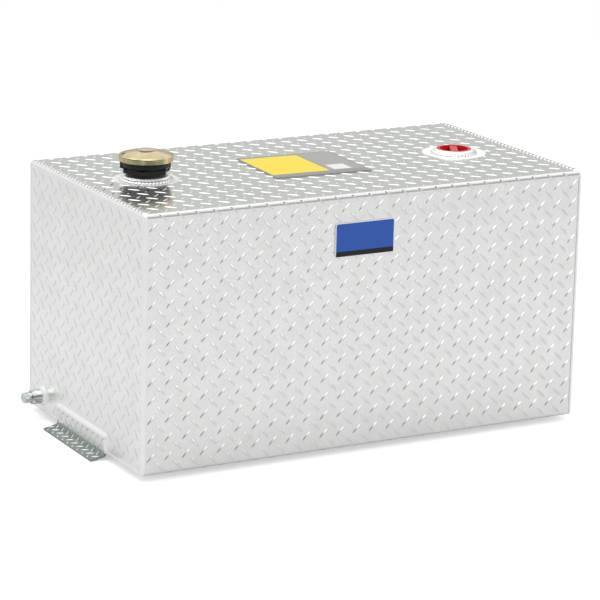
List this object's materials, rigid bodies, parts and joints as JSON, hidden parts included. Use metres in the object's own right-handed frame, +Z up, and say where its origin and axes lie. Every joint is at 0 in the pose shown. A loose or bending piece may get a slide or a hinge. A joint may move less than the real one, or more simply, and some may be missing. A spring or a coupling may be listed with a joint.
{
  "type": "truck bed transfer tank",
  "caption": "Rectangular liquid transfer tank of folded diamond tread aluminium plate, with a screw fill cap, a plugged pump port, a drain fitting and welded foot brackets.",
  "frame": {"origin": "middle of the whole part's base, on the ground under the feet", "axes": "+X along the length, from the end with the drain to the other end; -Y out of the long front face that carries the badge; +Z up"},
  "size_m": [0.9872, 0.4984, 0.5456],
  "materials": {
    "tread_plate": "bright rolled diamond tread plate",
    "end_plate": "bright rolled diamond tread plate",
    "bracket_plate": "tread plate, duller from handling",
    "weld_metal": "rippled weld beads",
    "bung_metal": "turned, satin",
    "inner_plate": "mill finish sheet",
    "neck_plastic": "moulded, satin black",
    "cap_plating": "yellow zinc plating",
    "cap_inside_plastic": "moulded black",
    "seal_rubber": "nitrile rubber",
    "spring_steel": "drawn wire",
    "red_plastic": "moulded red",
    "placard_sheet": "sheet with blank yellow and grey fields",
    "badge_face": "blue field, white border, black band",
    "plug_steel": "zinc plated steel"
  },
  "bodies": {
    "tank": {"tank_wrapper": "tread_plate", "end_panel_left": "end_plate", "end_panel_right": "end_plate", "end_weld_left": "weld_metal", "end_weld_right": "weld_metal", "seam_weld": "weld_metal", "baffle_left": "inner_plate", "baffle_right": "inner_plate", "fill_bung": "bung_metal", "fill_bung_weld": "weld_metal", "filler_neck": "neck_plastic", "pump_bung": "bung_metal", "pump_bung_weld": "weld_metal", "placard": "placard_sheet", "badge": "badge_face", "bracket_left": "bracket_plate", "bracket_right": "bracket_plate", "bracket_weld_left": "weld_metal", "bracket_weld_right": "weld_metal", "drain_coupling": "bung_metal", "drain_coupling_weld": "weld_metal"},
    "cap_seal": {"cap_gasket": "seal_rubber"},
    "cap": {"cap_shell": "cap_plating", "cap_insert": "cap_inside_plastic", "vent_spring": "spring_steel"},
    "breather": {"vent_poppet": "cap_inside_plastic"},
    "red_plug": {"pump_port_plug": "red_plastic"},
    "drain_stopper": {"drain_plug": "plug_steel"}
  },
  "joints": [
    {"name": "cap_lift", "type": "slide", "parent": "tank", "child": "cap_seal", "axis": [0, 0, 1], "range_m": [0, 0.01376]},
    {"name": "cap_twist", "type": "hinge", "parent": "cap_seal", "child": "cap", "pos_m": [-0.32315, 0.0144, 0.52946], "axis": [0, 0, 1], "range_deg": [0, 990]},
    {"name": "vent_lift", "type": "slide", "parent": "cap", "child": "breather", "axis": [0, 0, 1], "range_m": [0, 0.003], "stiffness_N_per_m": 60, "springref_m": -0.003, "deforming": ["vent_spring"]},
    {"name": "pump_plug_pull", "type": "slide", "parent": "tank", "child": "red_plug", "axis": [0, 0, 1], "range_m": [0, 0.04]},
    {"name": "drain_plug_pull", "type": "slide", "parent": "tank", "child": "drain_stopper", "axis": [-1, 0, 0], "range_m": [0, 0.035]}
  ],
  "couplings": [
    {"joint": "cap_lift", "follows": "cap_twist", "m_per_rad": 0.00079577}
  ]
}
